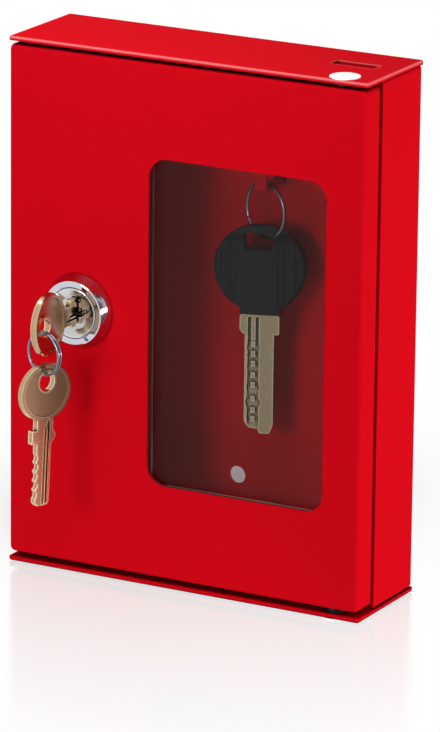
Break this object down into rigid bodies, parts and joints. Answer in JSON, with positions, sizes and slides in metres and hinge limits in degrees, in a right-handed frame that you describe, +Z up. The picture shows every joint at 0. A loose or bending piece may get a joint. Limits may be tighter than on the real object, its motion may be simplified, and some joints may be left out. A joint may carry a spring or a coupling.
{
  "type": "break glass key box",
  "caption": "Wall box of folded red sheet steel with a glazed, lockable, side-hung door, a pair of lock keys on a ring and an emergency key on a hook inside.",
  "frame": {"origin": "midway between the two wall holes, on the back face that lies against the wall", "axes": "+X to the right seen from the front, +Y back into the wall, +Z up"},
  "size_m": [0.11, 0.0608, 0.1506],
  "materials": {
    "case_paint": "satin powder coat",
    "door_paint": "satin powder coat",
    "bright_zinc": "bright zinc plate",
    "chrome_plate": "polished",
    "plug_nickel": "satin nickel plate",
    "key_nickel_brass": "worn nickel plate over brass",
    "wafer_brass": "plain",
    "spring_steel": "plain",
    "window_glass": "clear, faintly tinted",
    "seal_rubber": "matt",
    "washer_nylon": "plain",
    "head_plastic": "fine texture",
    "blade_nickel": "nickel silver"
  },
  "bodies": {
    "case": {"case_shell": "case_paint", "top_plate": "case_paint", "bottom_plate": "case_paint", "hook_bracket": "case_paint", "latch_keeper": "case_paint", "top_pivot_rivet": "bright_zinc", "bottom_pivot_rivet": "bright_zinc"},
    "door": {"door_panel": "door_paint", "window_seal": "seal_rubber", "window_pane": "window_glass", "pane_rail_left": "bright_zinc", "pane_rail_right": "bright_zinc", "pane_rail_bottom": "bright_zinc", "pane_clip": "bright_zinc", "pane_clip_stud": "bright_zinc", "pane_clip_nut": "bright_zinc", "lock_housing": "chrome_plate", "lock_washer": "bright_zinc", "lock_nut": "bright_zinc", "top_pivot_washer": "washer_nylon", "bottom_pivot_washer": "washer_nylon"},
    "lock_plug_set": {"lock_plug": "plug_nickel", "lock_wafers": "wafer_brass", "wafer_springs": "spring_steel", "plug_clip": "spring_steel", "lock_cam": "bright_zinc", "cam_washer": "bright_zinc", "cam_screw": "bright_zinc"},
    "first_key": {"lock_key": "key_nickel_brass"},
    "split_ring": {"key_ring": "spring_steel"},
    "second_key": {"spare_key": "key_nickel_brass"},
    "hung_ring": {"emergency_ring": "spring_steel"},
    "emergency_key": {"emergency_key_head": "head_plastic", "emergency_key_blade": "blade_nickel"}
  },
  "joints": [
    {"name": "door_swing", "type": "hinge", "parent": "case", "child": "door", "pos_m": [0.046, -0.0287, 0], "axis": [0, 0, 1], "range_deg": [0, 170]},
    {"name": "plug_turn", "type": "hinge", "parent": "door", "child": "lock_plug_set", "pos_m": [-0.0326, -0.03, 0.0006], "axis": [0, -1, 0], "range_deg": [0, 90]},
    {"name": "key_slide", "type": "slide", "parent": "lock_plug_set", "child": "first_key", "axis": [0, -1, 0], "range_m": [0, 0.024]},
    {"name": "ring_swing", "type": "hinge", "parent": "first_key", "child": "split_ring", "pos_m": [-0.0326, -0.05255, 0.0006], "axis": [1, 0, 0], "range_deg": [-60, 4]},
    {"name": "second_key_swing", "type": "hinge", "parent": "split_ring", "child": "second_key", "pos_m": [-0.03214, -0.05212, -0.01275], "axis": [0.9681, -0.2504, 0], "range_deg": [-25, 12]},
    {"name": "hung_ring_swing", "type": "hinge", "parent": "case", "child": "hung_ring", "pos_m": [0.0133, -0.011, 0.03795], "axis": [0, 1, 0], "range_deg": [-7, 7]},
    {"name": "emergency_key_swing", "type": "hinge", "parent": "hung_ring", "child": "emergency_key", "pos_m": [0.0133, -0.011, 0.02265], "axis": [0.9367, -0.3502, 0], "range_deg": [-6, 8]}
  ]
}
